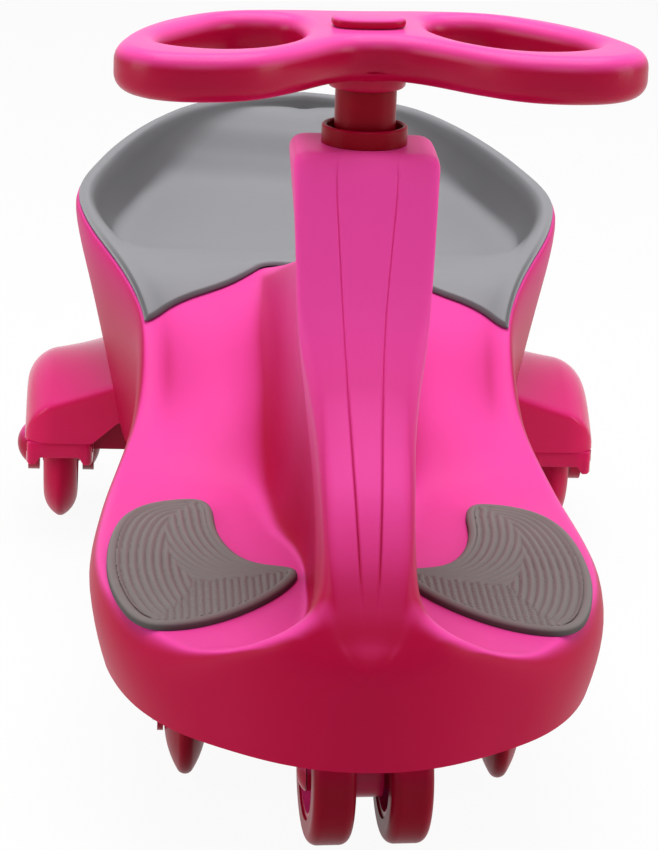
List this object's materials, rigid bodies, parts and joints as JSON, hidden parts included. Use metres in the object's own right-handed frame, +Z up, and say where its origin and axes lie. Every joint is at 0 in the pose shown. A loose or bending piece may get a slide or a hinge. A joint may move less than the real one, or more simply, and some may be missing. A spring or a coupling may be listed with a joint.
{
  "type": "wiggle car",
  "caption": "Child's ride-on wiggle car: moulded body with a swan-neck steering post, seat liner, foot pads, two-loop steering wheel, offset twin front wheels, stabilisers and rear wheels.",
  "frame": {"origin": "on the floor, under the middle of the bounding box", "axes": "-Y is the front of the car, +X is right as seen from the front, +Z is up"},
  "size_m": [0.362, 0.7774, 0.396],
  "materials": {
    "body_pink": "satin",
    "gloss_pink": "glossy",
    "seat_grey": "satin",
    "pad_grey": "ribbed matt",
    "crimson_tyre": "smooth satin",
    "crimson_plastic": "satin",
    "crimson_tube": "coated",
    "bare_steel": "zinc plated"
  },
  "bodies": {
    "body": {"body_shell": "body_pink", "base_plate": "gloss_pink", "rear_beam": "gloss_pink", "left_fender": "gloss_pink", "right_fender": "gloss_pink", "left_axle_caps": "gloss_pink", "right_axle_caps": "gloss_pink", "steering_collar": "gloss_pink", "left_stabiliser_fork": "gloss_pink", "right_stabiliser_fork": "gloss_pink", "seat_liner": "seat_grey", "left_foot_pad": "pad_grey", "right_foot_pad": "pad_grey", "left_rear_axle": "bare_steel", "right_rear_axle": "bare_steel", "left_rear_washers": "bare_steel", "right_rear_washers": "bare_steel", "lower_bush": "bare_steel", "left_stabiliser_pin": "bare_steel", "right_stabiliser_pin": "bare_steel", "beam_screws": "bare_steel", "fork_screws": "bare_steel", "fender_screws": "bare_steel"},
    "steering": {"steering_wheel": "gloss_pink", "hub_button": "gloss_pink", "wheel_bolt": "bare_steel", "steering_column": "crimson_tube", "front_carriage": "crimson_plastic", "carriage_pin": "bare_steel", "front_axle": "bare_steel", "front_axle_caps": "gloss_pink"},
    "left_front_wheel": {"left_front_hub": "gloss_pink", "left_front_tyre": "crimson_tyre"},
    "right_front_wheel": {"right_front_hub": "gloss_pink", "right_front_tyre": "crimson_tyre"},
    "left_stabiliser": {"left_stabiliser_wheel": "crimson_tyre"},
    "right_stabiliser": {"right_stabiliser_wheel": "crimson_tyre"},
    "left_rear_wheel": {"left_rear_hub": "gloss_pink", "left_rear_tyre": "crimson_tyre"},
    "right_rear_wheel": {"right_rear_hub": "gloss_pink", "right_rear_tyre": "crimson_tyre"}
  },
  "joints": [
    {"name": "steering_turn", "type": "hinge", "parent": "body", "child": "steering", "pos_m": [0, -0.215, 0.2], "axis": [0, 0, 1], "range_deg": [-41, 31]},
    {"name": "left_front_spin", "type": "hinge", "parent": "steering", "child": "left_front_wheel", "pos_m": [0.00662, -0.29071, 0.036], "axis": [0.9962, 0.0872, 0], "continuous": true},
    {"name": "right_front_spin", "type": "hinge", "parent": "steering", "child": "right_front_wheel", "pos_m": [0.00662, -0.29071, 0.036], "axis": [0.9962, 0.0872, 0], "continuous": true},
    {"name": "left_stabiliser_spin", "type": "hinge", "parent": "body", "child": "left_stabiliser", "pos_m": [-0.08, -0.214, 0.035], "axis": [1, 0, 0], "continuous": true},
    {"name": "right_stabiliser_spin", "type": "hinge", "parent": "body", "child": "right_stabiliser", "pos_m": [0.08, -0.214, 0.035], "axis": [1, 0, 0], "continuous": true},
    {"name": "left_rear_spin", "type": "hinge", "parent": "body", "child": "left_rear_wheel", "pos_m": [-0.1535, 0.22, 0.046], "axis": [1, 0, 0], "continuous": true},
    {"name": "right_rear_spin", "type": "hinge", "parent": "body", "child": "right_rear_wheel", "pos_m": [0.1535, 0.22, 0.046], "axis": [1, 0, 0], "continuous": true}
  ]
}
